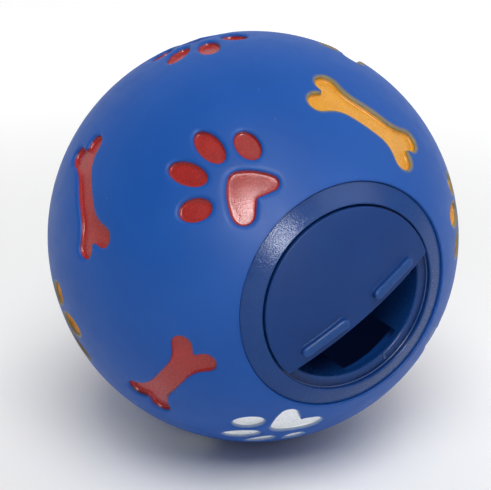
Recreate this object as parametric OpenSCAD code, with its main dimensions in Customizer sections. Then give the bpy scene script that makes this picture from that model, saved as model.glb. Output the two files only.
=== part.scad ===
// Treat ball: a soft ball with sunk paw prints and bones, a hard collar snapped into its port,
// and a domed half-moon shutter that turns in the collar to open or close the mouth.
// The origin is the centre of the ball, the mouth faces -Y and +Z is up. Sizes are in millimetres.

/* [Ball] */
// Outside diameter of the ball
ball_d = 110; // [104:1:124]
// Thickness of the soft wall
wall_t = 4; // [3.5:0.1:5]
// Thickness of the lip round the port that the snap tongues catch under
lip_t = 3.5; // [3:0.1:4.5]

/* [Collar] */
// Outside diameter of the collar's flange
collar_d = 56.6; // [54:0.2:60]
// How far the flange's inner edge lies below the ball's skin
collar_recess = 0.5; // [0.2:0.05:1]
// Radius of the flange's domed face, which falls away to its outer edge faster than the ball
flange_dome_r = 46; // [42:1:52]
// Height of the flange's outer edge
collar_edge_t = 1.8; // [1.5:0.1:2.4]
// Width of the joint line between the flange and the ball
collar_gap = 0.2; // [0.1:0.05:0.4]
// Diameter of the bore that the treats fall through
bore_d = 41.4; // [40.4:0.2:42]
// Width of the bevel on the bore's edge
bore_bevel_w = 0.3; // [0.2:0.1:0.4]
// Height of the bevel on the bore's edge
bore_bevel_h = 0.4; // [0.3:0.1:0.6]
// Depth of the ledge round the bore below the flange's inner edge
ledge_depth = 1.45; // [1.4:0.05:1.7]
// Length of the nub on the ledge
nub_l = 1.3; // [0.8:0.1:1.4]
// Width of the nub
nub_w = 0.7; // [0.5:0.1:1.2]
// Height of the nub
nub_h = 0.35; // [0.2:0.05:0.35]

/* [Snap tongues] */
// Number of snap tongues
tongue_n = 4; // [3:1:5]
// Angle that one tongue covers
tongue_span = 43; // [30:1:50]
// Angle of the first tongue's middle from +X, seen from the front
tongue_turn = -22; // [-45:1:0]
// Length of the tongues below the flange
tongue_l = 10.2; // [9.6:0.2:12]
// How far the slots between the tongues cut into the flange
slot_rise = 1.5; // [1:0.1:1.9]
// Thickness of the tongues
tongue_t = 2; // [1.6:0.1:2.4]
// Clearance between the tongues and the port's edge
port_gap = 0.2; // [0.1:0.05:0.4]
// How far the barbs stand out from the tongues
barb_out = 1.4; // [1:0.1:1.8]
// Length of the barbs' lead-in slope
barb_slope = 3.2; // [2.5:0.1:4]
// Height of the barbs' blunt edge
barb_edge = 0.8; // [0.5:0.1:1.2]

/* [Shutter] */
// Outside diameter of the shutter's disc
shutter_d = 46.4; // [46:0.2:47.4]
// Clearance between the disc and the collar
seat_gap = 0.5; // [0.3:0.05:0.6]
// How far the disc's rim lies below the flange's inner edge
rim_drop = 0.1; // [0:0.05:0.2]
// Radius of the disc's dome
dome_r = 85; // [78:1:95]
// Thickness of the disc
shutter_t = 1; // [0.8:0.1:1.1]
// Distance of the disc's straight edge from its centre
chord_dist = 4.7; // [4.3:0.1:5.5]
// Direction of the mouth from +X, seen from the front
mouth_dir = -58; // [-80:1:-40]
// Length of the grip ribs
rib_l = 13.4; // [11:0.2:14]
// Width of the grip ribs
rib_w = 2.7; // [2.2:0.1:3.2]
// Height of the grip ribs above the disc
rib_h = 1.2; // [0.8:0.1:1.3]
// Distance of the ribs' middle from the disc's centre
rib_at = 10.9; // [10:0.1:11.5]
// How far the ribs lie from the disc's middle towards the mouth
rib_shift = 1.4; // [1:0.1:1.6]

/* [Half floor and pivot] */
// Thickness of the fixed half floor
floor_t = 1.6; // [1.4:0.1:2]
// Clearance between the half floor and the shutter
floor_gap = 1.2; // [1.1:0.05:1.4]
// How far the half floor's edge stays behind the shutter's edge
floor_setback = 0.5; // [0.2:0.1:1]
// Diameter of the hub under the half floor
hub_d = 11; // [10:0.5:13]
// Height of the hub below the half floor
hub_h = 1.4; // [1.2:0.1:2]
// Diameter of the pivot post
post_d = 6; // [5:0.2:6.4]
// Running clearance round the post, on the radius
pivot_clear = 0.05; // [0.02:0.01:0.1]
// How far the snap head stands out from the post
head_out = 0.6; // [0.4:0.1:0.8]
// Length of the snap head
head_l = 2.2; // [1.8:0.1:2.6]
// End play between the snap head and the hub
end_play = 0.2; // [0.1:0.05:0.3]
// Width of the slot that splits the post
slot_w = 1.4; // [1:0.1:1.8]

/* [Sunk prints] */
// Depth of the sunk paws and bones
print_depth = 1.5; // [1:0.1:2]
// Thickness of the paint on their floors
paint_t = 0.2; // [0.1:0.05:0.3]
// Margin between the paint and the walls
paint_margin = 0.1; // [0.05:0.05:0.3]
// Distance along the ball from the collar's joint line to the middle of the nearest prints
front_print_dist = 16.1; // [15.5:0.1:17]

/* [Bone print] */
// Distance of the knobs from the bone's middle, along the bone
knob_x = 12.4; // [11.6:0.1:13.2]
// Distance of the knobs from the bone's middle line
knob_y = 3.5; // [3.3:0.1:3.7]
// Radius of the knobs
knob_r = 2.6; // [2.4:0.1:2.8]
// Distance of the end notches from the bone's middle
end_notch_x = 12.7; // [12.4:0.1:13]
// Radius at the bottom of the end notches
end_notch_r = 0.8; // [0.6:0.1:0.9]
// Half width of the bone's straight shank
shank_hw = 2.8; // [2.4:0.1:3]
// Radius of the flares from the shank to the knobs
flare_r = 9; // [7:0.2:11]

/* [Paw print] */
// Distance of the pad's middle from the paw's middle
pad_y = 6.6; // [6.4:0.1:6.9]
// Shift of the pad to one side
pad_x = -1.6; // [-1.8:0.1:0]
// Distance of the pad's lobes from its middle line
lobe_x = 4.7; // [4.4:0.1:5]
// Height of the pad's lobes above the pad's middle
lobe_y = 2.5; // [2.3:0.1:2.8]
// Radius of the pad's larger lobe
lobe_r = 2.8; // [2.6:0.1:3]
// Radius of the pad's smaller lobe
small_lobe_r = 1.9; // [1.7:0.1:2.2]
// Height of the pad's notch above the pad's middle
notch_y = 2.6; // [2.4:0.1:2.8]
// Radius at the bottom of the pad's notch
notch_r = 0.6; // [0.4:0.1:0.8]
// Depth of the pad's point below the pad's middle
point_y = 2.9; // [2.7:0.1:3.1]
// Radius of the pad's point
point_r = 2.7; // [2.5:0.1:2.9]
// Radius of the pad's bulging sides
pad_side_r = 16; // [12:0.5:20]
// Distance of the inner toes from the paw's middle line
inner_toe_x = 4; // [3.8:0.1:4.2]
// Distance of the inner toes from the paw's middle, away from the pad
inner_toe_y = 7.2; // [7:0.1:7.5]
// Distance of the outer toes from the paw's middle line
outer_toe_x = 9.6; // [9.3:0.1:9.9]
// Distance of the outer toes from the paw's middle, away from the pad
outer_toe_y = 0.4; // [0.1:0.1:0.7]
// Half length of the two inner toes
inner_toe_hl = 5; // [4.5:0.1:5.2]
// Half length of the two outer toes
outer_toe_hl = 4; // [3.6:0.1:4.3]
// Half width of the toes
toe_hw = 2.7; // [2.4:0.1:2.9]

/* [Hidden] */
$fn = 96;
ball_r = ball_d / 2;
collar_r = collar_d / 2;
bore_r = bore_d / 2;
shutter_r = shutter_d / 2;
seat_r = shutter_r + seat_gap;
post_r = post_d / 2;
// How far joined shapes run into each other
overlap = floor_t / 4;

// Heights along the mouth's axis, measured from the centre of the ball towards the mouth
rim_h = sqrt((ball_r - collar_recess) ^ 2 - seat_r ^ 2);
flange_dome_h = rim_h - sqrt(flange_dome_r ^ 2 - seat_r ^ 2);
flange_h = flange_dome_h + sqrt(flange_dome_r ^ 2 - collar_r ^ 2) - collar_edge_t;
slot_h = flange_h + slot_rise;
lip_h = flange_h - lip_t;
ledge_h = rim_h - ledge_depth;
ledge_in_r = bore_r + bore_bevel_w;
dome_h = rim_h - rim_drop - sqrt(dome_r ^ 2 - shutter_r ^ 2);
floor_r = dome_r - shutter_t - floor_gap;
hub_end_h = dome_h + floor_r - floor_t - hub_h;
head_h = hub_end_h - end_play;
barb_h = lip_h - port_gap;
tongue_end_h = flange_h - tongue_l;
tongue_r = bore_r + tongue_t;
port_r = tongue_r + port_gap;
far = 2 * ball_r;

// The columns that cut the prints start well below their floors and end clear of the ball
column_h = ball_r / 2;
column_l = ball_r;

// The four toes: place across and along the paw, half length, half width and lean of each
TOES = [
    [outer_toe_x, -outer_toe_y, outer_toe_hl, toe_hw, -47],
    [inner_toe_x, -inner_toe_y, inner_toe_hl, toe_hw, -15],
    [-inner_toe_x, -inner_toe_y, inner_toe_hl, toe_hw, 11],
    [-outer_toe_x, -outer_toe_y, outer_toe_hl, toe_hw, 15]
];
// Lean of the four toes together
toes_lean = 3;

// The ring of prints next to the collar keeps its distance from the collar's joint line
front_a = asin((collar_r + collar_gap) / ball_r) + front_print_dist / ball_r * 180 / PI;

// The prints: node name, kind, degrees from the mouth's axis, degrees clockwise round it from the top
// as seen from the front, turn of the print on the surface, colour of its paint
red = "firebrick";
yellow = "goldenrod";
white = "whitesmoke";
PRINTS = [
    ["front_paw_paint", "paw", front_a + 0.9, -41.5, 0, red],
    ["top_bone_paint", "bone", front_a + 1.6, 17.3, -30.5, yellow],
    ["right_paw_paint", "paw", front_a + 7, 79, 178, yellow],
    ["lower_right_bone_paint", "bone", front_a + 4, 134, 40, white],
    ["under_paw_paint", "paw", front_a, -160, -22, white],
    ["lower_left_bone_paint", "bone", front_a + 7.1, -116.4, -56, red],
    ["crown_paw_paint", "paw", 98, -13, 143, red],
    ["right_upper_bone_paint", "bone", 90, 34, 40, yellow],
    ["right_back_paw_paint", "paw", 97, 79, 20, white],
    ["right_lower_bone_paint", "bone", 94, 122, -45, red],
    ["keel_paw_paint", "paw", 93, 156, 160, yellow],
    ["left_lower_bone_paint", "bone", 92, -150, 50, white],
    ["left_paw_paint", "paw", 98, -108, 165, yellow],
    ["left_bone_paint", "bone", 83.3, -66.6, 42.2, red],
    ["back_upper_bone_paint", "bone", 136, 10, 20, white],
    ["back_right_paw_paint", "paw", 138, 92, 200, red],
    ["back_lower_bone_paint", "bone", 134, 160, 60, yellow],
    ["back_left_bone_paint", "bone", 134, -125, 140, red],
    ["back_paw_paint", "paw", 139, -56, 100, yellow]
];

// Outlines

function along(c, r, a) = c + r * [cos(a), sin(a)];

function angle(v) = atan2(v.y, v.x);

// Points along an arc about c, without its last one
function arc(c, r, a0, a1, n) = [for (i = [0 : n - 1]) along(c, r, a0 + (a1 - a0) * i / n)];

function turned(points, a) = [for (p = points) [p.x * cos(a) - p.y * sin(a), p.x * sin(a) + p.y * cos(a)]];

function moved(points, x, y) = [for (p = points) [p.x + x, p.y + y]];

// The way back along the same points on the other side of the Y axis
function way_back(points) = [for (i = [len(points) - 1 : -1 : 0]) [-points[i].x, points[i].y]];

// The right one of two lobes with a notch between them, from its side at angle a0 up over its top
// and down to the notch, all but the notch's lowest point
function lobe(c, r, a0, notch_c, notch_r) =
    let (flank_a = angle(notch_c - c) - acos((r + notch_r) / norm(notch_c - c)))
    concat(
        arc(c, r, a0, flank_a, 9),
        [along(c, r, flank_a)],
        arc(notch_c, notch_r, flank_a - 180, -90, 3)
    );

// One end of a bone, inset by m, that stands along Y: the shank flares out to two knobs
function bone_end(m) =
    let (
        reach = flare_r + knob_r,
        knob_c = [knob_y, knob_x],
        flare_c = [shank_hw + flare_r, knob_x - sqrt(reach ^ 2 - (shank_hw + flare_r - knob_y) ^ 2)],
        knob_a = angle(knob_c - flare_c),
        right = concat(
            arc(flare_c, flare_r + m, 180, knob_a, 4),
            lobe(knob_c, knob_r - m, knob_a - 180, [0, end_notch_x + end_notch_r], end_notch_r + m)
        )
    )
    concat(right, [[0, end_notch_x - m]], way_back(right));

function bone_outline(m) = turned(concat(bone_end(m), -bone_end(m)), 90);

// The right half of the heart-shaped pad, inset by m, with a lobe of radius r: from the bottom of its
// blunt point round the bulging side and the lobe, all but the notch's lowest point
function pad_half(r, m) =
    let (
        point_c = [0, -point_y],
        lobe_c = [lobe_x, lobe_y],
        span = norm(lobe_c - point_c),
        ahead = (lobe_c - point_c) / span,
        point_reach = pad_side_r - point_r,
        side_at = (point_reach ^ 2 - (pad_side_r - r) ^ 2 + span ^ 2) / (2 * span),
        side_out = sqrt(point_reach ^ 2 - side_at ^ 2),
        side_c = point_c + side_at * ahead + side_out * [-ahead.y, ahead.x],
        foot_a = angle(point_c - side_c),
        side_a = angle(lobe_c - side_c)
    )
    concat(
        arc(point_c, point_r - m, -90, foot_a, 4),
        arc(side_c, pad_side_r - m, foot_a, side_a, 3),
        lobe(lobe_c, r - m, side_a, [0, notch_y + notch_r], notch_r + m)
    );

function pad_outline(m) =
    let (left = way_back(pad_half(small_lobe_r, m)))
    concat(pad_half(lobe_r, m), [[0, notch_y - m]], [for (i = [0 : len(left) - 2]) left[i]]);

// A toe stands along Y before it leans
function toe_outline(t, m) =
    let (oval = [for (a = [0 : 15 : 345]) [(t[3] - m) * sin(a), -(t[2] - m) * cos(a)]])
    turned(moved(turned(oval, -t[4]), t[0], t[1]), toes_lean);

module print_outline(kind, m) {
    if (kind == "bone") {
        polygon(bone_outline(m));
    } else {
        polygon(moved(pad_outline(m), pad_x, pad_y));
        for (t = TOES) polygon(toe_outline(t, m));
    }
}

// Places

// Turns the mouth's axis from +Z, where the collar and shutter are drawn, to -Y
module facing_front() {
    rotate([90, 0, 0]) children();
}

// Stands a print, drawn flat about the origin, on its place on the ball
module at_print(p) {
    rotate([0, p[3], 0]) rotate([90 - p[2], 0, 0]) rotate([0, 0, 180 + p[4]]) children();
}

module print_column(p, m) {
    at_print(p) translate([0, 0, column_h]) linear_extrude(column_l) print_outline(p[1], m);
}

module dome(r) {
    translate([0, 0, dome_h]) sphere(r);
}

// A block that reaches to the given distance from the axis, on the side away from the mouth
module behind_chord(dist) {
    rotate([0, 0, mouth_dir]) translate([dist - far, -far / 2, -far / 2]) cube(far);
}

// Sub-parts

module ball_shell() {
    color("royalblue") difference() {
        facing_front() difference() {
            sphere(ball_r);
            difference() {
                sphere(ball_r - wall_t);
                translate([0, 0, lip_h]) cylinder(r = ball_r, h = ball_r);
            }
            cylinder(r = port_r, h = far);
            translate([0, 0, flange_h]) cylinder(r = collar_r + collar_gap, h = far);
        }
        difference() {
            for (p = PRINTS) print_column(p, 0);
            sphere(ball_r - print_depth);
        }
    }
}

module collar_ring() {
    intersection() {
        translate([0, 0, flange_dome_h]) sphere(flange_dome_r);
        rotate_extrude() polygon([
            [bore_r, slot_h], [tongue_r, slot_h], [tongue_r, flange_h], [collar_r, flange_h],
            [collar_r, ball_r], [seat_r, ball_r], [seat_r, ledge_h], [ledge_in_r, ledge_h],
            [bore_r, ledge_h - bore_bevel_h]
        ]);
    }
}

module half_floor() {
    intersection() {
        difference() {
            dome(floor_r);
            dome(floor_r - floor_t);
        }
        cylinder(r = bore_r + overlap, h = far);
        behind_chord(chord_dist - floor_setback);
    }
    translate([0, 0, hub_end_h]) cylinder(d = hub_d, h = hub_h + floor_t / 2);
}

module snap_tongue(a) {
    rotate([0, 0, a - tongue_span / 2]) rotate_extrude(angle = tongue_span) polygon([
        [bore_r, slot_h + overlap], [tongue_r, slot_h + overlap], [tongue_r, barb_h],
        [tongue_r + barb_out, barb_h], [tongue_r + barb_out, barb_h - barb_edge],
        [tongue_r, barb_h - barb_edge - barb_slope], [tongue_r, tongue_end_h], [bore_r, tongue_end_h]
    ]);
}

module ledge_nub() {
    rotate([0, 0, mouth_dir]) translate([ledge_in_r, -nub_w / 2, ledge_h - overlap])
        cube([nub_l, nub_w, nub_h + overlap]);
}

module collar() {
    color("mediumblue") facing_front() difference() {
        union() {
            collar_ring();
            half_floor();
            ledge_nub();
            for (i = [0 : tongue_n - 1]) snap_tongue(tongue_turn + i * 360 / tongue_n);
        }
        cylinder(r = post_r + pivot_clear, h = far);
    }
}

// A rib with round ends, half sunk in the dome and lying along its slope
module grip_rib(side) {
    run = rib_l - rib_w;
    lean = side * asin(rib_at / dome_r);
    tip = asin(rib_shift / dome_r);
    rotate([0, 0, mouth_dir + 90]) translate([0, 0, dome_h]) rotate([tip, lean, 0])
        translate([0, 0, dome_r + rib_h - rib_w / 2]) {
            translate([-run / 2, 0, 0]) rotate([0, 90, 0]) cylinder(d = rib_w, h = run);
            for (e = [-1, 1]) translate([e * run / 2, 0, 0]) sphere(d = rib_w);
        }
}

module pivot_post() {
    crown_h = dome_h + dome_r - shutter_t / 2;
    difference() {
        union() {
            translate([0, 0, head_h - overlap]) cylinder(r = post_r, h = crown_h - head_h + overlap);
            translate([0, 0, head_h - head_l])
                cylinder(r1 = post_r - head_out, r2 = post_r + head_out, h = head_l);
        }
        rotate([0, 0, mouth_dir]) translate([-far / 2, -slot_w / 2, head_h - head_l - overlap])
            cube([far, slot_w, head_l + hub_h + overlap]);
    }
}

module shutter() {
    color("navy") facing_front() {
        intersection() {
            difference() {
                dome(dome_r);
                dome(dome_r - shutter_t);
            }
            cylinder(r = shutter_r, h = far);
            behind_chord(chord_dist);
        }
        difference() {
            for (side = [-1, 1]) grip_rib(side);
            dome(dome_r - shutter_t / 2);
        }
        pivot_post();
    }
}

// The paint on the floors of one sunk print
module print_paint(p) {
    color(p[5]) intersection() {
        print_column(p, paint_margin);
        difference() {
            sphere(ball_r - print_depth + paint_t);
            sphere(ball_r - print_depth);
        }
    }
}

ball_shell();
collar();
shutter();
for (p = PRINTS) print_paint(p);
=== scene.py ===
import math

import bmesh
import bpy
from mathutils import Matrix, Vector
from mathutils.geometry import delaunay_2d_cdt


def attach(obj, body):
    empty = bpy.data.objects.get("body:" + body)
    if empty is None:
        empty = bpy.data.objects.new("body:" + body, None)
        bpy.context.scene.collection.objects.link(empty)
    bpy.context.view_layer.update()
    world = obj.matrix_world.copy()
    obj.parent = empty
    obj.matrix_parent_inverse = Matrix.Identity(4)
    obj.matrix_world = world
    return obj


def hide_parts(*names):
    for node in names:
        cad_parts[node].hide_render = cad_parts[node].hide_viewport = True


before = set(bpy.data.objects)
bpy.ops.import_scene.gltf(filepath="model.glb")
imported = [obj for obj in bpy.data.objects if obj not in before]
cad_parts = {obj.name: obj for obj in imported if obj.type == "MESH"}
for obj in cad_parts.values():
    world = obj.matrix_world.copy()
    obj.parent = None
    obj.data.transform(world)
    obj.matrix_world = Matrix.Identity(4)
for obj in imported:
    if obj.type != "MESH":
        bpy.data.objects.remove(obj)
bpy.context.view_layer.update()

# The view. The ball lies on a pale floor in soft studio light, and the camera looks down on it from
# above and left of the mouth, six ball radii from its centre, as in the photograph. The ball and its
# pieces are drawn in millimetres, and the stage in metres.
mm = 0.001
ball_r = 55.0
photo_w, photo_h = 491, 490
ball_in_photo = (253.1, 236.4)
silhouette_px = 205.6
view_turn = math.radians(-28.2)
view_rise = math.radians(20.3)
view_radii = 6.0


def direction(turn, rise):
    """The way from the ball to a light or camera, turn counted from the mouth's axis towards +X."""
    return Vector((math.sin(turn) * math.cos(rise), -math.cos(turn) * math.cos(rise), math.sin(rise)))


sensor_w = 36.0
camera = bpy.data.objects.new("camera", bpy.data.cameras.new("camera"))
bpy.context.collection.objects.link(camera)
camera.location = direction(view_turn, view_rise) * view_radii * ball_r * mm
camera.rotation_euler = camera.location.to_track_quat("Z", "Y").to_euler()
camera.data.sensor_width = sensor_w
camera.data.lens = sensor_w * silhouette_px * math.sqrt(view_radii**2 - 1) / photo_w
camera.data.shift_x = (photo_w / 2 - ball_in_photo[0]) / photo_w
camera.data.shift_y = (ball_in_photo[1] - photo_h / 2) / photo_w
camera.data.clip_start = 0.01
bpy.context.scene.camera = camera
bpy.context.scene.view_settings.view_transform = "Standard"


def node(tree, kind, **values):
    """A shader node with its settings, and with its inputs by name where they aren't settings."""
    made = tree.nodes.new(kind)
    for key, value in values.items():
        if hasattr(made, key):
            setattr(made, key, value)
        else:
            made.inputs[key.replace("_", " ")].default_value = value
    return made


floor_half = 4.0
floor_mesh = bpy.data.meshes.new("floor")
floor_mesh.from_pydata(
    [(x * floor_half, y * floor_half, -ball_r * mm) for x, y in ((-1, -1), (1, -1), (1, 1), (-1, 1))],
    [],
    [(0, 1, 2, 3)],
)
floor = bpy.data.objects.new("floor", floor_mesh)
bpy.context.collection.objects.link(floor)
floor_paper = bpy.data.materials.new("floor_paper")
floor_paper.use_nodes = True
paper = floor_paper.node_tree
paper_shader = paper.nodes["Principled BSDF"]
paper_shader.inputs["Base Color"].default_value = (0.90, 0.90, 0.90, 1)
paper_shader.inputs["Roughness"].default_value = 0.9
paper_shader.inputs["Emission Color"].default_value = (1.0, 1.0, 1.0, 1)
# The paper gets brighter away from the ball, as a sweep under its own lights does
glow_from, glow_to, glow_most = 0.10, 0.55, 0.42
paper_way = node(paper, "ShaderNodeTexCoord")
paper_far = node(paper, "ShaderNodeVectorMath", operation="LENGTH")
paper_glow = node(
    paper,
    "ShaderNodeMapRange",
    interpolation_type="SMOOTHSTEP",
    From_Min=glow_from,
    From_Max=glow_to,
    To_Max=glow_most,
)
paper.links.new(paper_way.outputs["Object"], paper_far.inputs[0])
paper.links.new(paper_far.outputs["Value"], paper_glow.inputs["Value"])
paper.links.new(paper_glow.outputs["Result"], paper_shader.inputs["Emission Strength"])
floor_mesh.materials.append(floor_paper)

# The room is white behind the ball and dim on the side that the camera stands on
room_behind, room_in_front = 0.75, 0.03
dim_from, dim_to = -0.3, 0.6
studio = bpy.data.worlds.new("studio")
studio.use_nodes = True
room = studio.node_tree
room_way = node(room, "ShaderNodeTexCoord")
room_facing = node(room, "ShaderNodeVectorMath", operation="DOT_PRODUCT")
room_facing.inputs[1].default_value = direction(view_turn, view_rise)
room_dim = node(
    room,
    "ShaderNodeMapRange",
    interpolation_type="SMOOTHSTEP",
    From_Min=dim_from,
    From_Max=dim_to,
    To_Min=room_behind,
    To_Max=room_in_front,
)
room.links.new(room_way.outputs["Generated"], room_facing.inputs[0])
room.links.new(room_facing.outputs["Value"], room_dim.inputs["Value"])
room.links.new(room_dim.outputs["Result"], room.nodes["Background"].inputs["Strength"])
room.nodes["Background"].inputs["Color"].default_value = (1.0, 1.0, 1.0, 1)
bpy.context.scene.world = studio


def soft_box(name, turn, rise, distance, size, power):
    """A square area light that looks at the ball."""
    light = bpy.data.lights.new(name, "AREA")
    light.size = size
    light.energy = power
    box = bpy.data.objects.new(name, light)
    box.location = direction(math.radians(turn), math.radians(rise)) * distance
    box.rotation_euler = box.location.to_track_quat("Z", "Y").to_euler()
    bpy.context.collection.objects.link(box)
    return box


# The three gloss lights give nothing but gloss, and the high one, spread wide by its cloth, gives none
soft_box("gloss_light", -26, 32, 0.9, 0.26, 8.0).visible_diffuse = False
soft_box("low_gloss_light", -8, 14, 0.9, 0.20, 4.6).visible_diffuse = False
soft_box("right_gloss_light", 30, 27, 1.0, 0.60, 3.6).visible_diffuse = False
soft_box("high_light", -20, 62, 1.2, 0.80, 12.6).visible_glossy = False
soft_box("side_light", 70, 36, 1.2, 1.00, 1.6)

# The ball: one hollow soft vinyl casting with a satin skin. Paw prints and bones are sunk in it with
# soft shoulders, and the collar snaps into the stepped port at the front.
wall_t = 4.0
print_depth = 1.5
port_r = 22.9
seat_r = 28.5
seat_h = 44.117
lip_h = 40.617
port_edge_r = 0.35
seat_corner_r, lip_edge_r, lip_foot_r, lip_foot_drop = 0.2, 0.4, 0.8, 2
shoulder_drop, shoulder_steps = 0.8, 6
floor_round, floor_steps = 0.6, 4
outline_step = 0.36
skin_step = 2.0
turn_count = 288

# A bone and a paw in millimetres, drawn flat with +Y towards the mouth
knob_x, knob_y, knob_r = 12.4, 3.5, 2.6
end_notch_x, end_notch_r = 12.7, 0.8
shank_hw, flare_r = 2.8, 9.0
pad_x, pad_y = -1.6, 6.6
lobe_x, lobe_y, lobe_r, small_lobe_r = 4.7, 2.5, 2.8, 1.9
notch_y, notch_r = 2.6, 0.6
point_y, point_r, pad_side_r = 2.9, 2.7, 16.0
toes_lean = 3.0
# The toes: place across and along the paw, half length, half width and lean of each
toes = (
    (9.6, -0.4, 4.0, 2.7, -47.0),
    (4.0, -7.2, 5.0, 2.7, -15.0),
    (-4.0, -7.2, 5.0, 2.7, 11.0),
    (-9.6, -0.4, 4.0, 2.7, 15.0),
)
bone_shoulder_w, pad_shoulder_w, toe_shoulder_w = 1.2, 1.7, 1.15
shoulder_room, shoulder_smoothings = 0.4, 6

# The prints: name, kind, degrees from the mouth's axis, degrees round it from the top, turn, paint
front_print_dist = 16.1
front_tilt = math.degrees(math.asin(seat_r / ball_r) + front_print_dist / ball_r)
prints = (
    ("front_paw", "paw", front_tilt + 0.9, -41.5, 0, "red"),
    ("top_bone", "bone", front_tilt + 1.6, 17.3, -30.5, "yellow"),
    ("right_paw", "paw", front_tilt + 7, 79, 178, "yellow"),
    ("lower_right_bone", "bone", front_tilt + 4, 134, 40, "white"),
    ("under_paw", "paw", front_tilt, -160, -22, "white"),
    ("lower_left_bone", "bone", front_tilt + 7.1, -116.4, -56, "red"),
    ("crown_paw", "paw", 98, -13, 143, "red"),
    ("right_upper_bone", "bone", 90, 34, 40, "yellow"),
    ("right_back_paw", "paw", 97, 79, 20, "white"),
    ("right_lower_bone", "bone", 94, 122, -45, "red"),
    ("keel_paw", "paw", 93, 156, 160, "yellow"),
    ("left_lower_bone", "bone", 92, -150, 50, "white"),
    ("left_paw", "paw", 98, -108, 165, "yellow"),
    ("left_bone", "bone", 83.3, -66.6, 42.2, "red"),
    ("back_upper_bone", "bone", 136, 10, 20, "white"),
    ("back_right_paw", "paw", 138, 92, 200, "red"),
    ("back_lower_bone", "bone", 134, 160, 60, "yellow"),
    ("back_left_bone", "bone", 134, -125, 140, "red"),
    ("back_paw", "paw", 139, -56, 100, "yellow"),
)

# Paint blown on the walls of the prints: its colour, and the ring of the wall, counted from the skin down,
# at which it starts. It reaches its full strength over a few rings more.
overspray = {
    "red": ((0.20, 0.012, 0.014), 5),
    "yellow": ((0.26, 0.20, 0.045), 1),
    "white": ((0.36, 0.44, 0.56), 3),
}
spray_fade = 3
untinted = (0.0, 0.0, 0.0, 0.0)


class Skin:
    """The points and faces of one piece, in millimetres, with a tint for each point."""

    def __init__(self):
        self.points = []
        self.faces = []
        self.tints = []

    def loop(self, points, tint=untinted):
        """Adds points of one tint, and gives back their numbers."""
        first = len(self.points)
        self.points.extend(Vector(p) for p in points)
        self.tints.extend([tint] * (len(self.points) - first))
        return list(range(first, len(self.points)))

    def band(self, a, b, closed=True):
        """Quads between two loops of the same count."""
        n = len(a)
        for i in range(n if closed else n - 1):
            k = (i + 1) % n
            self.faces.append((a[i], a[k], b[k], b[i]))

    def fan(self, a, tip):
        """Triangles from a loop to one point."""
        self.faces.extend((a[i], a[(i + 1) % len(a)], tip) for i in range(len(a)))

    def fill(self, loops, seeds, flat):
        """Triangles inside the first loop and outside the others, with seeds among them.

        The faces are found in the plane that flat maps each point to."""
        spots = [i for loop in loops for i in loop] + list(seeds)
        owner = [k for k, loop in enumerate(loops) for _ in loop] + [-1] * len(seeds)
        plane = [Vector(flat(self.points[i])) for i in spots]
        edges = []
        start = 0
        for loop in loops:
            n = len(loop)
            edges.extend((start + i, start + (i + 1) % n) for i in range(n))
            start += n
        outlines = [[plane[i] for i in range(len(plane)) if owner[i] == k] for k in range(len(loops))]
        _, _, faces, origin, _, _ = delaunay_2d_cdt(plane, edges, [], 0, 1e-6)
        for face in faces:
            ids = [origin[i][0] for i in face]
            homes = {owner[i] for i in ids}
            if len(homes) == 1 and -1 not in homes:
                home = homes.pop()
                middle = sum((plane[i] for i in ids), Vector((0, 0))) / len(ids)
                if within(middle, outlines[home]) != (home == 0):
                    continue
            self.faces.append(tuple(spots[i] for i in ids))

    def make(self, name, material, crease=40.0):
        """The Blender object of this skin, smooth up to the given crease angle."""
        mesh = bpy.data.meshes.new(name)
        mesh.from_pydata([p * mm for p in self.points], [], self.faces)
        tint = mesh.attributes.new("tint", "FLOAT_COLOR", "POINT")
        tint.data.foreach_set("color", [c for t in self.tints for c in t])
        tidy = bmesh.new()
        tidy.from_mesh(mesh)
        bmesh.ops.remove_doubles(tidy, verts=tidy.verts, dist=1e-7)
        bmesh.ops.recalc_face_normals(tidy, faces=tidy.faces)
        tidy.to_mesh(mesh)
        tidy.free()
        mesh.polygons.foreach_set("use_smooth", [True] * len(mesh.polygons))
        mesh.set_sharp_from_angle(angle=math.radians(crease))
        mesh.materials.append(material)
        piece = bpy.data.objects.new(name, mesh)
        bpy.context.collection.objects.link(piece)
        return piece


def within(p, outline):
    """Whether a flat point lies inside an outline."""
    inside = False
    n = len(outline)
    for i in range(n):
        a, b = outline[i], outline[i - 1]
        if (a[1] > p[1]) != (b[1] > p[1]):
            if p[0] < (b[0] - a[0]) * (p[1] - a[1]) / (b[1] - a[1]) + a[0]:
                inside = not inside
    return inside


def spot(c, r, degrees):
    """The point on a circle about c at an angle."""
    return c + Vector((r * math.cos(math.radians(degrees)), r * math.sin(math.radians(degrees))))


def arc(c, r, start, end, count=24):
    """Points on a circle about c from one angle to another, in degrees."""
    return [spot(c, r, start + (end - start) * i / count) for i in range(count + 1)]


def heading(v):
    """The angle of a flat vector, in degrees."""
    return math.degrees(math.atan2(v.y, v.x))


def mirrored(points):
    """The way back along the same points on the other side of the Y axis."""
    return [Vector((-p.x, p.y)) for p in reversed(points)]


def lobe(c, r, start, notch, notch_round):
    """The right one of two lobes, from its side over its top and down into the notch between them."""
    flank = heading(notch - c) - math.degrees(math.acos((r + notch_round) / (notch - c).length))
    return arc(c, r, start, flank) + arc(notch, notch_round, flank - 180, -90)


def bone_outline():
    """A bone along X: two knobs at each end with a notch between, flaring from a narrow shank."""
    knob = Vector((knob_y, knob_x))
    out = shank_hw + flare_r
    flare = Vector((out, knob_x - math.sqrt((flare_r + knob_r) ** 2 - (out - knob_y) ** 2)))
    knob_a = heading(knob - flare)
    notch = Vector((0, end_notch_x + end_notch_r))
    right = arc(flare, flare_r, 180, knob_a) + lobe(knob, knob_r, knob_a - 180, notch, end_notch_r)
    end = right + mirrored(right)
    return [Vector((-p.y, p.x)) for p in end + [-p for p in end]]


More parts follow.
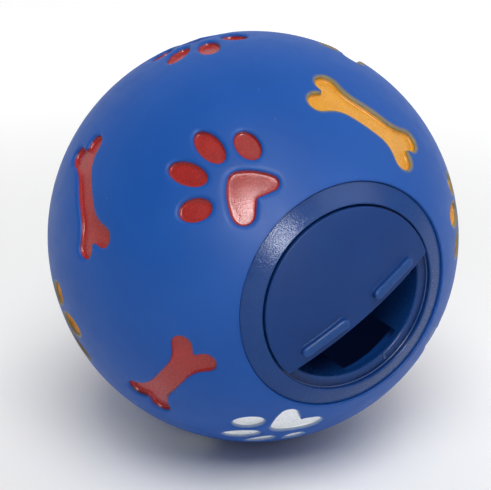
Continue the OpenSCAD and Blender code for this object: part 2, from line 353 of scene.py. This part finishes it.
def pad_half(r):
    """The right half of the heart-shaped pad with a lobe of radius r, from its blunt point to its notch."""
    point, top = Vector((0, -point_y)), Vector((lobe_x, lobe_y))
    span = (top - point).length
    ahead = (top - point) / span
    reach = pad_side_r - point_r
    at = (reach**2 - (pad_side_r - r) ** 2 + span**2) / (2 * span)
    side = point + ahead * at + Vector((-ahead.y, ahead.x)) * math.sqrt(reach**2 - at**2)
    foot_a, side_a = heading(point - side), heading(top - side)
    up = arc(point, point_r, -90, foot_a) + arc(side, pad_side_r, foot_a, side_a)
    return up + lobe(top, r, side_a, Vector((0, notch_y + notch_r)), notch_r)


def pad_outline():
    """The paw's pad, a heart with one lobe smaller than the other."""
    return [p + Vector((pad_x, pad_y)) for p in pad_half(lobe_r) + mirrored(pad_half(small_lobe_r))]


def toe_outline(toe):
    """One oval toe from its place, half length, half width and lean."""
    x, y, half_l, half_w, lean = toe
    own, group = Matrix.Rotation(math.radians(-lean), 2), Matrix.Rotation(math.radians(toes_lean), 2)
    oval = [Vector((half_w * p.x, half_l * p.y)) for p in arc(Vector((0, 0)), 1, 0, 360, count=72)]
    return [group @ (own @ p + Vector((x, y))) for p in oval]


def even(points, step):
    """The same closed outline with its points at even steps."""
    ring = points + points[:1]
    ends = [0.0]
    for a, b in zip(ring, ring[1:]):
        ends.append(ends[-1] + (b - a).length)
    count = round(ends[-1] / step)
    run = []
    k = 0
    for i in range(count):
        at = ends[-1] * i / count
        while ends[k + 1] <= at:
            k += 1
        run.append(ring[k].lerp(ring[k + 1], (at - ends[k]) / (ends[k + 1] - ends[k])))
    return run


def ways_out(outline):
    """The direction straight out of an outline at each of its points."""
    steps = [outline[(i + 1) % len(outline)] - outline[i - 1] for i in range(len(outline))]
    return [Vector((d.y, -d.x)).normalized() for d in steps]


def with_shoulders(outlines, widths):
    """The points of each outline with the way out and the shoulder's width, narrower where room is short."""
    rounds = [even(outline, outline_step) for outline in outlines]
    everywhere = [p for outline in rounds for p in outline]
    made = []
    for outline, width in zip(rounds, widths):
        outs = ways_out(outline)
        own = []
        for p, out in zip(outline, outs):
            gaps = [(q - p, out.dot(q - p)) for q in everywhere]
            own.append(min([width] + [shoulder_room * d.length_squared / o for d, o in gaps if o > 1e-5]))
        for _ in range(shoulder_smoothings):
            n = len(own)
            own = [min(own[i], (own[i - 1] + 2 * own[i] + own[(i + 1) % n]) / 4) for i in range(n)]
        made.append(list(zip(outline, outs, own)))
    return made


shapes = {
    "bone": with_shoulders([bone_outline()], [bone_shoulder_w]),
    "paw": with_shoulders(
        [pad_outline()] + [toe_outline(toe) for toe in toes],
        [pad_shoulder_w] + [toe_shoulder_w] * len(toes),
    ),
}


def ring(outline, share, inset):
    """An outline grown by a share of its shoulder's width, less the inset."""
    return [p + out * (width * share - inset) for p, out, width in outline]


def print_place(tilt, round_top, spin):
    """The turn that stands a print, drawn flat about the origin, on its place on the ball."""
    return (
        Matrix.Rotation(math.radians(round_top), 3, "Y")
        @ Matrix.Rotation(math.radians(90 - tilt), 3, "X")
        @ Matrix.Rotation(math.radians(180 + spin), 3, "Z")
    )


def sunk(place, points, depth):
    """Flat points laid on the ball, the given depth below its skin."""
    r = ball_r - depth
    return [place @ Vector((p.x, p.y, math.sqrt(r * r - p.length_squared))) for p in points]


def lathe(skin, profile, start=0.0, end=360.0, count=turn_count):
    """Turns a profile of (radius, height) points about the mouth's axis, and gives back its loops."""
    whole = end - start == 360.0
    angles = [math.radians(start + (end - start) * i / count) for i in range(count if whole else count + 1)]
    loops = [skin.loop([(r * math.cos(a), -h, r * math.sin(a)) for a in angles]) for r, h in profile]
    for a, b in zip(loops, loops[1:]):
        skin.band(a, b, closed=whole)
    return loops


def rounded(corners, closed=False, steps=5, guard=0.06):
    """A run of points through corners (x, y, radius), with each corner rounded, open ends left as they are.

    A guard point on each side of a rounding keeps the faces beside it flat in the light."""
    n = len(corners)
    run = []
    for i, (x, y, r) in enumerate(corners):
        p = Vector((x, y))
        if r == 0 or (not closed and i in (0, n - 1)):
            run.append(p)
            continue
        to_a = (Vector(corners[i - 1][:2]) - p).normalized()
        to_b = (Vector(corners[(i + 1) % n][:2]) - p).normalized()
        half = to_a.angle(to_b) / 2
        middle = p + (to_a + to_b).normalized() * (r / math.sin(half))
        cut = r / math.tan(half)
        first, last = p + to_a * cut - middle, p + to_b * cut - middle
        run.append(p + to_a * (cut + guard))
        run.extend(middle + first.slerp(last, k / steps) * r for k in range(steps + 1))
        run.append(p + to_b * (cut + guard))
    return run


def new_material(name):
    """A material with its node tree, its shader and the place on the piece for its textures."""
    material = bpy.data.materials.new(name)
    material.use_nodes = True
    tree = material.node_tree
    return material, tree, tree.nodes["Principled BSDF"], node(tree, "ShaderNodeTexCoord").outputs["Object"]


def noise(tree, where, scale, detail=2.0, rough=0.5):
    """Cloudy noise between 0 and 1, with the given number of clouds to the metre."""
    made = node(tree, "ShaderNodeTexNoise", Scale=scale, Detail=detail, Roughness=rough)
    tree.links.new(where, made.inputs["Vector"])
    return made.outputs["Fac"]


def ramp(tree, value, low, high, low_value=0.0, high_value=1.0):
    """A value taken from one range to another."""
    made = node(
        tree, "ShaderNodeMapRange", From_Min=low, From_Max=high, To_Min=low_value, To_Max=high_value
    )
    tree.links.new(value, made.inputs["Value"])
    return made.outputs["Result"]


def mixed(tree, amount, a, b):
    """A colour between a and b, each a colour or a socket."""
    made = node(tree, "ShaderNodeMix", data_type="RGBA")
    tree.links.new(amount, made.inputs["Factor"])
    # The node has sockets of the same names for each type, so those for colours go by number
    for socket, value in ((made.inputs[6], a), (made.inputs[7], b)):
        if isinstance(value, tuple):
            socket.default_value = (*value, 1.0)
        else:
            tree.links.new(value, socket)
    return made.outputs[2]


def product(tree, a, b):
    """A socket times a number or another socket."""
    made = node(tree, "ShaderNodeMath", operation="MULTIPLY")
    tree.links.new(a, made.inputs[0])
    if isinstance(b, float):
        made.inputs[1].default_value = b
    else:
        tree.links.new(b, made.inputs[1])
    return made.outputs[0]


def specks(tree, where, scale, size, share):
    """Round specks scattered over the surface, in the given share of the cells of a grid."""
    cells = node(tree, "ShaderNodeTexVoronoi", Scale=scale)
    tree.links.new(where, cells.inputs["Vector"])
    dots = ramp(tree, cells.outputs["Distance"], size * 0.6, size, 1.0, 0.0)
    split = node(tree, "ShaderNodeSeparateColor")
    tree.links.new(cells.outputs["Color"], split.inputs["Color"])
    chosen = ramp(tree, split.outputs[0], 1.0 - share, 1.0 - share + 0.01)
    return product(tree, dots, chosen)


def bump(tree, shader, height, depth_mm, strength=1.0, under=None):
    """Roughens a shader's normal by a height, on top of another bump if one is under it."""
    made = node(tree, "ShaderNodeBump", Strength=strength, Distance=depth_mm * mm)
    tree.links.new(height, made.inputs["Height"])
    if under is not None:
        tree.links.new(under, made.inputs["Normal"])
    tree.links.new(made.outputs["Normal"], shader.inputs["Normal"])
    return made.outputs["Normal"]


def vinyl():
    """Satin blue vinyl with faint clouding, a fine pebble, dust, and paint blown on the print walls."""
    material, tree, shader, where = new_material("blue_vinyl")
    clouds = ramp(tree, noise(tree, where, 70, 4.0), 0.3, 0.7)
    colour = mixed(tree, clouds, (0.0055, 0.074, 0.345), (0.0075, 0.083, 0.372))
    dust = specks(tree, where, 420, 0.10, 0.05)
    colour = mixed(tree, product(tree, dust, 0.45), colour, (0.16, 0.24, 0.42))
    tint = node(tree, "ShaderNodeAttribute", attribute_name="tint")
    patchy = ramp(tree, noise(tree, where, 650, 3.0), 0.25, 0.60, 0.65, 1.0)
    sprayed = product(tree, tint.outputs["Alpha"], patchy)
    colour = mixed(tree, sprayed, colour, tint.outputs["Color"])
    tree.links.new(colour, shader.inputs["Base Color"])
    gloss = ramp(tree, noise(tree, where, 240, 3.0), 0.3, 0.7, 0.44, 0.52)
    tree.links.new(gloss, shader.inputs["Roughness"])
    pebble = bump(tree, shader, noise(tree, where, 2600, 2.0), 0.012)
    bump(tree, shader, noise(tree, where, 120, 2.0), 0.10, 0.6, under=pebble)
    shader.inputs["Specular IOR Level"].default_value = 0.17
    # A little light comes through the wall, and shows as a faint glow inside
    shader.inputs["Emission Color"].default_value = (0.10, 0.30, 1.0, 1.0)
    shader.inputs["Emission Strength"].default_value = 0.006
    return material


ball = Skin()
inside_r = ball_r - wall_t
lip_foot_h = lip_h - lip_foot_drop
ball_profile = rounded(
    [
        (seat_r + port_edge_r, math.sqrt(ball_r**2 - (seat_r + port_edge_r) ** 2), 0),
        (seat_r, math.sqrt(ball_r**2 - seat_r**2), port_edge_r),
        (seat_r, seat_h, seat_corner_r),
        (port_r, seat_h, lip_edge_r),
        (port_r, lip_h, lip_edge_r),
        (math.sqrt(inside_r**2 - lip_h**2), lip_h, lip_foot_r),
        (math.sqrt(inside_r**2 - lip_foot_h**2), lip_foot_h, 0),
    ]
)
first_dip = math.acos(lip_foot_h / inside_r)
inside_steps = 48
for i in range(1, inside_steps):
    dip = first_dip + (math.pi - first_dip) * i / inside_steps
    ball_profile.append((inside_r * math.sin(dip), inside_r * math.cos(dip)))
ball_loops = lathe(ball, ball_profile)
ball.fan(ball_loops[-1], ball.loop([(0.0, inside_r, 0.0)])[0])

# The side of a print from the skin down: share of the shoulder's width, inset and depth
print_wall = []
for i in range(shoulder_steps + 1):
    a = math.radians(90 * i / shoulder_steps)
    print_wall.append((1 - math.sin(a), 0.0, shoulder_drop * (1 - math.cos(a))))
for i in range(floor_steps + 1):
    a = math.radians(90 * i / floor_steps)
    print_wall.append((0.0, floor_round * (1 - math.cos(a)), print_depth - floor_round * (1 - math.sin(a))))

print_rims = []
for _, kind, tilt, round_top, spin, hue in prints:
    place = print_place(tilt, round_top, spin)
    spray_colour, spray_from = overspray[hue]
    for outline in shapes[kind]:
        rings = [
            ball.loop(
                sunk(place, ring(outline, share, inset), depth),
                (*spray_colour, min(1.0, max(0.0, (k - spray_from + 1) / spray_fade))),
            )
            for k, (share, inset, depth) in enumerate(print_wall)
        ]
        for outer, inner in zip(rings, rings[1:]):
            ball.band(outer, inner)
        print_rims.append(rings[0])
        ball.fill([rings[-1]], [], lambda p, back=place.transposed(): (back @ p).xy)

# Points spread evenly over the skin, clear of the port and the prints
golden = math.pi * (3 - math.sqrt(5))
row_share = 0.866
port_clear = 0.6 * skin_step
print_reach, print_clear_squared = 22, 0.8
seed_count = int(4 * math.pi * ball_r**2 / (skin_step**2 * row_share))
port_limit = -math.sqrt(ball_r**2 - (seat_r + port_edge_r + port_clear) ** 2)
seeds = []
for i in range(seed_count):
    y = ball_r * (1 - 2 * (i + 0.5) / seed_count)
    r = math.sqrt(ball_r**2 - y * y)
    if y > port_limit:
        seeds.append(Vector((r * math.cos(golden * i), y, r * math.sin(golden * i))))
grown = {kind: [ring(outline, 1, 0) for outline in outlines] for kind, outlines in shapes.items()}
for _, kind, tilt, round_top, spin, _ in prints:
    back = print_place(tilt, round_top, spin).transposed()
    kept = []
    for seed in seeds:
        local = back @ seed
        if local.z < 0 or local.xy.length > print_reach or not any(
            within(local, outline)
            or min((local.xy - p).length_squared for p in outline) < print_clear_squared
            for outline in grown[kind]
        ):
            kept.append(seed)
    seeds = kept
ball.fill(
    [ball_loops[0]] + print_rims,
    ball.loop(seeds),
    lambda p: (p.x * ball_r / (ball_r + p.y), p.z * ball_r / (ball_r + p.y)),
)
ball_piece = ball.make("ball_skin", vinyl(), crease=60)
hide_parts("ball_shell")
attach(ball_piece, "ball")

# The paint: a coat sprayed through a mask on the floor of each sunk print. It lies in the hollow like a
# thin skin, climbs the wall a little way, and has pinholes, a fine grain and a satin gloss.
film_t = 0.08
coat_steps = 5
feather_in, feather_out, feather_top, feather_low = 0.03, 0.04, 0.12, 0.10
paint_seed_step, paint_seed_clear, paint_reach = 0.9, 0.5, 20
paint_hues = {
    "red": ((0.330, 0.020, 0.018), (0.400, 0.026, 0.022)),
    "yellow": ((0.66, 0.285, 0.020), (0.75, 0.335, 0.028)),
    "white": ((0.89, 0.93, 0.96), (0.95, 0.97, 0.98)),
}


def paint(name, dark, light):
    """Sprayed paint, mottled, with dark pinholes and a grain that breaks up its gloss."""
    material, tree, shader, where = new_material(name)
    mottle = ramp(tree, noise(tree, where, 420, 4.0), 0.3, 0.7)
    colour = mixed(tree, mottle, dark, light)
    holes = specks(tree, where, 900, 0.16, 0.12)
    colour = mixed(tree, product(tree, holes, 0.75), colour, tuple(c * 0.25 for c in dark))
    tree.links.new(colour, shader.inputs["Base Color"])
    grain = noise(tree, where, 2600, 3.0, 0.6)
    tree.links.new(ramp(tree, grain, 0.3, 0.7, 0.18, 0.34), shader.inputs["Roughness"])
    fine = bump(tree, shader, grain, 0.034)
    bump(tree, shader, noise(tree, where, 700, 2.0), 0.02, 0.6, under=fine)
    shader.inputs["Specular IOR Level"].default_value = 0.38
    return material


paints = {hue: paint(hue + "_paint", *tones) for hue, tones in paint_hues.items()}

# The coat from its edge on the wall to the floor, as inset and depth, and its underside in the vinyl
film_r = floor_round - film_t
wall_foot = print_depth - floor_round
coat_side = [
    (-feather_in, wall_foot - feather_top),
    (feather_out, wall_foot - feather_low),
    (film_t, wall_foot),
]
for i in range(1, coat_steps + 1):
    a = math.radians(90 * i / coat_steps)
    coat_side.append((floor_round - film_r * math.cos(a), wall_foot + film_r * math.sin(a)))
under_inset, under_sink = 0.1, 0.06
under_depth = print_depth + under_sink


def grid(half, step):
    """Flat points in staggered rows about the origin, the given half count of steps each way."""
    count = range(-half, half)
    return [Vector(((i + 0.5 * (k % 2)) * step, k * step)) for i in count for k in count]


def inside_spots(outline, step, away):
    """Points of a grid that lie inside an outline and clear of it."""
    spots = grid(int(paint_reach / step), step)
    return [p for p in spots if within(p, outline) and min((p - q).length for q in outline) > away]


coat_inset, coat_depth = coat_side[-1]
floor_spots = {
    kind: [
        inside_spots(ring(outline, 0, coat_inset), paint_seed_step, paint_seed_clear) for outline in outlines
    ]
    for kind, outlines in shapes.items()
}
for name, kind, tilt, round_top, spin, hue in prints:
    coat = Skin()
    place = print_place(tilt, round_top, spin)

    def flat(p, back=place.transposed()):
        return (back @ p).xy

    for outline, spots in zip(shapes[kind], floor_spots[kind]):
        loops = [coat.loop(sunk(place, ring(outline, 0, inset), depth)) for inset, depth in coat_side]
        under = coat.loop(sunk(place, ring(outline, 0, under_inset), under_depth))
        for a, b in zip([under] + loops, loops):
            coat.band(a, b)
        coat.fill([loops[-1]], coat.loop(sunk(place, spots, coat_depth)), flat)
        coat.fill([under], [], flat)
    coat_piece = coat.make(name + "_coat", paints[hue], crease=60)
    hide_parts(name + "_paint")
    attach(coat_piece, "ball")

# The collar: one hard plastic moulding with a spark-eroded face. Its flange lies in the ball's seat, its
# barbed tongues are pushed through the port, and a half floor with a hub carries the shutter.
collar_r = 28.4
rim_h = 48.75
flange_dome_r = 60.0
flange_rings = (27.4, 26.8, 26.2, 25.6, 25.0, 24.5)
collar_edge_r, inner_edge_r = 0.2, 0.30
flange_back_r, neck_corner_r, slot_edge_r, slot_corner_r = 0.2, 0.3, 0.15, 0.2
disc_seat_r = 23.45
ledge_depth, ledge_in_r, bore_bevel_h = 1.45, 21.0, 0.4
ledge_corner_r, bore_edge_r = 0.3, 0.25
bore_r = 20.7
slot_rise = 1.1
tongue_r, tongue_l, tongue_n = 22.7, 10.2, 4
tongue_span, tongue_turn = 43.0, -17.5
barb_r, barb_edge, barb_slope = 24.1, 0.8, 3.2
barb_gap, barb_corner_r, barb_edge_r = 0.2, 0.15, 0.2
barb_foot_r, tongue_end_r, tongue_overlap = 0.5, 0.4, 0.4
tongue_steps = 36
nub_l, nub_w, nub_h, nub_sink, nub_edge_r, nub_over = 1.3, 0.7, 0.35, 0.3, 0.2, 0.1
disc_r, disc_t, disc_rim_h = 23.0, 1.0, 49.0
dome_r = 85.0
half_floor_t, half_floor_gap, half_floor_chord = 1.6, 1.2, 4.2
half_floor_bite, half_floor_corner_r, half_floor_edge_r = 0.2, 0.4, 0.3
hub_r, hub_bore_r, hub_h, hub_turn_count = 5.5, 3.05, 1.4, 96
hub_inner_r, hub_outer_r, hub_root_r = 0.3, 0.4, 0.3
hole_lead, hole_lead_h, hole_sag = 0.3, 0.35, 0.06
mouth_dir = -58.0


def face_at(r):
    """Height of the flange's domed face at a radius."""
    return rim_h + math.sqrt(flange_dome_r**2 - r * r) - math.sqrt(flange_dome_r**2 - disc_seat_r**2)


ledge_h = rim_h - ledge_depth
slot_h = seat_h + slot_rise
barb_h = lip_h - barb_gap
barb_foot_h = barb_h - barb_edge - barb_slope
tongue_end_h = seat_h - tongue_l
dome_h = disc_rim_h - math.sqrt(dome_r**2 - disc_r**2)
floor_dome_r = dome_r - disc_t - half_floor_gap
half_floor_h = dome_h + floor_dome_r
hub_end_h = half_floor_h - half_floor_t - hub_h


def dome_at(p, r):
    """Height of a dome of radius r over a flat point."""
    return dome_h + math.sqrt(r * r - p.length_squared)


def raised(p, h):
    """A flat point, seen from the front, at a height along the mouth's axis."""
    return Vector((p.x, -h, p.y))


def d_outline(r, chord, corner, step):
    """A disc of radius r cut straight on the mouth's side, with small round corners."""
    half = math.sqrt((r - corner) ** 2 - (chord - corner) ** 2)
    a = heading(Vector((chord - corner, half)))
    run = (
        arc(Vector((chord - corner, half)), corner, 0, a)
        + arc(Vector((0, 0)), r, a, 360 - a, count=180)
        + arc(Vector((chord - corner, -half)), corner, 360 - a, 360)
    )
    turn = Matrix.Rotation(math.radians(mouth_dir), 2)
    return [turn @ p for p in even(run, step)]


def plate_edge(skin, outline, top_r, bottom_r, edge_r, steps=5, guard=0.15):
    """The rounded edge of a domed plate, from the rim of its top to the rim of its underside."""
    outs = ways_out(outline)
    loops = []
    for i in range(-1, 2 * steps + 2):
        a = math.pi * min(max(i, 0), 2 * steps) / (2 * steps)
        inset = edge_r * (1 - math.sin(a)) + (0.0 if 0 <= i <= 2 * steps else guard)
        points = [p - out * inset for p, out in zip(outline, outs)]
        if i <= steps:
            heights = [dome_at(p, top_r) - edge_r * (1 - math.cos(a)) for p in points]
        else:
            heights = [dome_at(p, bottom_r) + edge_r * (1 + math.cos(a)) for p in points]
        loops.append(skin.loop([raised(p, h) for p, h in zip(points, heights)]))
    for a, b in zip(loops, loops[1:]):
        skin.band(a, b)
    return loops[0], loops[-1]


def dome_fill(skin, loops, r, step, clear=0.6):
    """Fills a dome inside the first loop and outside the others, with points clear of them all."""
    flats = [[Vector((skin.points[i].x, skin.points[i].z)) for i in loop] for loop in loops]
    edge = [p for flat in flats for p in flat]
    seeds = [
        raised(p, dome_at(p, r))
        for p in grid(int(disc_seat_r / step) + 1, step)
        if [within(p, flat) for flat in flats] == [True] + [False] * (len(flats) - 1)
        and min((p - q).length for q in edge) > clear * step
    ]
    skin.fill(loops, skin.loop(seeds), lambda p: (p.x, p.z))


def tint_chosen(skin, tint, chosen):
    """Tints the points so far that are chosen by radius, height and angle from the mouth's direction."""
    for i, p in enumerate(skin.points):
        turn = abs((math.degrees(math.atan2(p.z, p.x)) - mouth_dir + 180) % 360 - 180)
        if chosen(math.hypot(p.x, p.z), -p.y, turn):
            skin.tints[i] = tint


def hard_plastic(name, light, dark, rough, shine, grain, grain_depth, grain_gloss):
    """Dyed plastic with faint clouding, dust, painted shade and light, and a fine grain from the mould in
    its gloss.
    """
    material, tree, shader, where = new_material(name)
    clouds = ramp(tree, noise(tree, where, 90, 3.0), 0.3, 0.7)
    dust = specks(tree, where, 520, 0.09, 0.04)
    colour = mixed(tree, product(tree, dust, 0.35), mixed(tree, clouds, dark, light), (0.16, 0.22, 0.36))
    tint = node(tree, "ShaderNodeAttribute", attribute_name="tint")
    patchy = ramp(tree, noise(tree, where, 900, 3.0), 0.3, 0.6, 0.55, 1.0)
    colour = mixed(tree, product(tree, tint.outputs["Alpha"], patchy), colour, tint.outputs["Color"])
    tree.links.new(colour, shader.inputs["Base Color"])
    pits = noise(tree, where, grain, 1.0)
    gloss = ramp(tree, pits, 0.3, 0.7, rough - grain_gloss, rough + grain_gloss)
    tree.links.new(gloss, shader.inputs["Roughness"])
    fine = bump(tree, shader, pits, grain_depth)
    bump(tree, shader, noise(tree, where, 160, 2.0), 0.06, 0.5, under=fine)
    shader.inputs["Specular IOR Level"].default_value = shine
    return material


collar = Skin()
collar_profile = rounded(
    [
        (bore_r, slot_h, slot_edge_r),
        (tongue_r, slot_h, slot_corner_r),
        (tongue_r, seat_h, neck_corner_r),
        (collar_r, seat_h, flange_back_r),
        (collar_r, face_at(collar_r), collar_edge_r),
        *((r, face_at(r), 0) for r in flange_rings),
        (disc_seat_r, rim_h, inner_edge_r),
        (disc_seat_r, ledge_h, ledge_corner_r),
        (ledge_in_r, ledge_h, bore_edge_r),
        (bore_r, ledge_h - bore_bevel_h, bore_edge_r),
    ],
    closed=True,
)
collar_loops = lathe(collar, collar_profile)
collar.band(collar_loops[-1], collar_loops[0])
# The joint beside the disc's rim is painted darker as shade, the open part of the ledge is painted dark as
# shade, and dust has gathered in its corner. The open part reaches this far round from the mouth's
# direction, in degrees.
open_turn = 80
painted_joint_shade, joint_in_r, joint_out_r, joint_shade_drop = (0.0050, 0.0300, 0.1500, 0.40), 22.6, 23.6, 0.40
shade, shade_rise = (0.0012, 0.0130, 0.0850, 0.85), 0.6
dust, dust_in_r, dust_out_r, dust_rise = (0.10, 0.15, 0.27, 0.35), 23.2, 23.44, 0.16


def in_joint(r, h, turn):
    """Whether a point of the collar lies in the joint beside the disc's rim, clear of the open ledge."""
    return joint_in_r < r < joint_out_r and h < rim_h - joint_shade_drop and turn > open_turn


def in_shade(r, h, turn):
    """Whether a point of the collar lies at the outside of the open ledge or low on the wall there."""
    return joint_in_r < r < joint_out_r and h < ledge_h + shade_rise and turn < open_turn


def in_dust(r, h, turn):
    """Whether a point of the collar lies in the corner of the open ledge."""
    return dust_in_r < r < dust_out_r and h < ledge_h + dust_rise and turn < open_turn


tint_chosen(collar, painted_joint_shade, in_joint)
tint_chosen(collar, shade, in_shade)
tint_chosen(collar, dust, in_dust)

tongue_profile = rounded(
    [
        (bore_r, slot_h + tongue_overlap, 0),
        (tongue_r, slot_h + tongue_overlap, 0),
        (tongue_r, barb_h, barb_corner_r),
        (barb_r, barb_h, barb_edge_r),
        (barb_r, barb_h - barb_edge, barb_edge_r),
        (tongue_r, barb_foot_h, barb_foot_r),
        (tongue_r, tongue_end_h, tongue_end_r),
        (bore_r, tongue_end_h, tongue_end_r),
    ],
    closed=True,
)
for i in range(tongue_n):
    middle = tongue_turn + 360 * i / tongue_n
    tongue = lathe(collar, tongue_profile, middle - tongue_span / 2, middle + tongue_span / 2, tongue_steps)
    collar.band(tongue[-1], tongue[0], closed=False)
    for end in (0, -1):
        collar.faces.append(tuple(loop[end] for loop in tongue))

floor_outline = d_outline(bore_r + half_floor_bite, half_floor_chord, half_floor_corner_r, step=0.8)
under_dome_r = floor_dome_r - half_floor_t
floor_top, floor_under = plate_edge(collar, floor_outline, floor_dome_r, under_dome_r, half_floor_edge_r)
floor_hole = [
    (hub_bore_r + hole_lead, half_floor_h - hole_sag),
    (hub_bore_r, half_floor_h - hole_lead_h),
    (hub_bore_r, half_floor_h - half_floor_t - hole_sag),
]
hole_loops = lathe(collar, floor_hole, count=hub_turn_count)
dome_fill(collar, [floor_top, hole_loops[0]], floor_dome_r, step=1.4)
dome_fill(collar, [floor_under, hole_loops[-1]], under_dome_r, step=1.4)
hub_top_h = hub_end_h + hub_h + half_floor_t / 2
hub_profile = rounded(
    [
        (hub_bore_r, hub_end_h, hub_inner_r),
        (hub_r, hub_end_h, hub_outer_r),
        (hub_r, hub_top_h, hub_root_r),
        (hub_bore_r, hub_top_h, 0),
    ],
    closed=True,
)
hub_loops = lathe(collar, hub_profile, count=hub_turn_count)
collar.band(hub_loops[-1], hub_loops[0])

across = Matrix.Rotation(math.radians(mouth_dir), 2)
nub_foot, nub_top = ledge_h - nub_sink, ledge_h + nub_h
nub_profile = rounded(
    [
        (-nub_w / 2, nub_foot, 0),
        (nub_w / 2, nub_foot, 0),
        (nub_w / 2, nub_top, nub_edge_r),
        (-nub_w / 2, nub_top, nub_edge_r),
    ],
    closed=True,
)
nub_ends = [
    collar.loop([raised(across @ Vector((r, p.x)), p.y) for p in nub_profile], dust)
    for r in (ledge_in_r - nub_over, ledge_in_r + nub_l)
]
collar.band(*nub_ends)
collar.faces.extend(tuple(end) for end in nub_ends)

collar_plastic = hard_plastic(
    "collar_plastic",
    light=(0.0066, 0.049, 0.209),
    dark=(0.0055, 0.042, 0.187),
    rough=0.22,
    shine=0.21,
    grain=2600,
    grain_depth=0.038,
    grain_gloss=0.06,
)
collar_piece = collar.make("collar_moulding", collar_plastic, crease=35)
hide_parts("collar")
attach(collar_piece, "ball")

# The shutter: one hard plastic moulding, a domed half-moon disc with two grip ribs. Its split post snaps
# through the collar's hub, and its rim turns just above the collar's ledge.
chord_dist = 4.7
disc_corner_r, disc_edge_r = 0.5, 0.16
# How far below the disc's edge the painted shade on its rim starts
rim_shade_drop = 0.13
rib_l, rib_w, rib_at, rib_shift, rib_step = 13.4, 2.7, 10.9, 1.4, 0.3
# The rib tops are painted lighter: painted light where they catch the lamps, and the wear of fingers
rib_top_light_and_wear, rib_top_above = (0.020, 0.085, 0.290, 0.60), 1.0
# The side of a rib from its soft foot up: growth of its outline, and height
rib_side = (
    (0.25, 0.0),
    (0.13, 0.04),
    (0.05, 0.12),
    (0.01, 0.25),
    (-0.03, 0.7),
    (-0.10, 0.93),
    (-0.26, 1.11),
    (-0.50, 1.20),
    (-0.9, 1.24),
    (-1.28, 1.25),
)
post_r, head_r, tip_r = 3.0, 3.6, 2.4
post_root, post_turn_count = 0.6, 48
head_gap, head_l, head_edge, tip_bevel, leg_overlap = 0.2, 2.2, 0.3, 0.2, 0.2
head_h = hub_end_h - head_gap
split_half = 0.7


def on_rim(r, h, turn):
    """Whether a point of the shutter lies on the disc's rim, below its edge."""
    return r > joint_in_r and h < dome_at(Vector((r, 0)), dome_r) - rim_shade_drop


def on_rib_top(r, h, turn):
    """Whether a point of the shutter lies on top of a rib, painted lighter as painted light and the wear of
    fingers.
    """
    return h > dome_at(Vector((r, 0)), dome_r) + rib_top_above


shutter = Skin()
disc_outline = d_outline(disc_r, chord_dist, disc_corner_r, step=0.5)
disc_top, disc_under = plate_edge(shutter, disc_outline, dome_r, dome_r - disc_t, disc_edge_r)
# The disc's rim below its edge is painted darker, as painted shade in the joint beside the collar
tint_chosen(shutter, painted_joint_shade, on_rim)
rib_feet = []
half_run = (rib_l - rib_w) / 2
right_end = arc(Vector((half_run, 0)), rib_w / 2, -90, 90)
left_end = arc(Vector((-half_run, 0)), rib_w / 2, 90, 270)
stadium = even(right_end + left_end, rib_step)
rib_turn = Matrix.Rotation(math.radians(mouth_dir + 90), 2)
for side in (-1, 1):
    loops = []
    for grow, height in rib_side:
        flat = [p + out * grow for p, out in zip(stadium, ways_out(stadium))]
        middle = Vector((side * rib_at, -rib_shift))
        spots = [(rib_turn @ (p + middle), height * (1 + p.x**2 / (2 * dome_r))) for p in flat]
        loops.append(shutter.loop([raised(p, dome_at(p, dome_r) + h) for p, h in spots]))
    for a, b in zip(loops, loops[1:]):
        shutter.band(a, b)
    shutter.fill([loops[-1]], [], lambda p: (p.x, p.z))
    rib_feet.append(loops[0])
# The rib tops take their painted light and wear
tint_chosen(shutter, rib_top_light_and_wear, on_rib_top)
dome_fill(shutter, [disc_top] + rib_feet, dome_r, step=1.2)
dome_fill(shutter, [disc_under], dome_r - disc_t, step=1.6)

# The post: a round neck, and two legs with a split between them that end in the snap head
split_top = head_h + hub_h
neck_profile = [(post_r, dome_h + dome_r - post_root), (post_r, split_top)]
neck = lathe(shutter, neck_profile, count=post_turn_count)
shutter.faces.extend(tuple(loop) for loop in neck)
leg = [
    (post_r, split_top + leg_overlap),
    (post_r, head_h),
    (head_r, head_h),
    (head_r, head_h - head_edge),
    (tip_r + tip_bevel, head_h - head_l + tip_bevel),
    (tip_r, head_h - head_l),
]
for side in (0, 180):
    loops = []
    for r, h in leg:
        a = math.degrees(math.acos(split_half / r))
        flat = arc(Vector((0, 0)), r, -a, a)
        turn = Matrix.Rotation(math.radians(mouth_dir + 90 + side), 2)
        loops.append(shutter.loop([raised(turn @ p, h) for p in flat]))
    for a, b in zip(loops, loops[1:]):
        shutter.band(a, b)
    shutter.faces.extend((tuple(loops[0]), tuple(loops[-1])))

shutter_plastic = hard_plastic(
    "shutter_plastic",
    light=(0.0065, 0.043, 0.190),
    dark=(0.0050, 0.037, 0.170),
    rough=0.36,
    shine=0.14,
    grain=3200,
    grain_depth=0.010,
    grain_gloss=0.04,
)
shutter_piece = shutter.make("shutter_moulding", shutter_plastic, crease=35)
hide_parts("shutter")
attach(shutter_piece, "shutter")
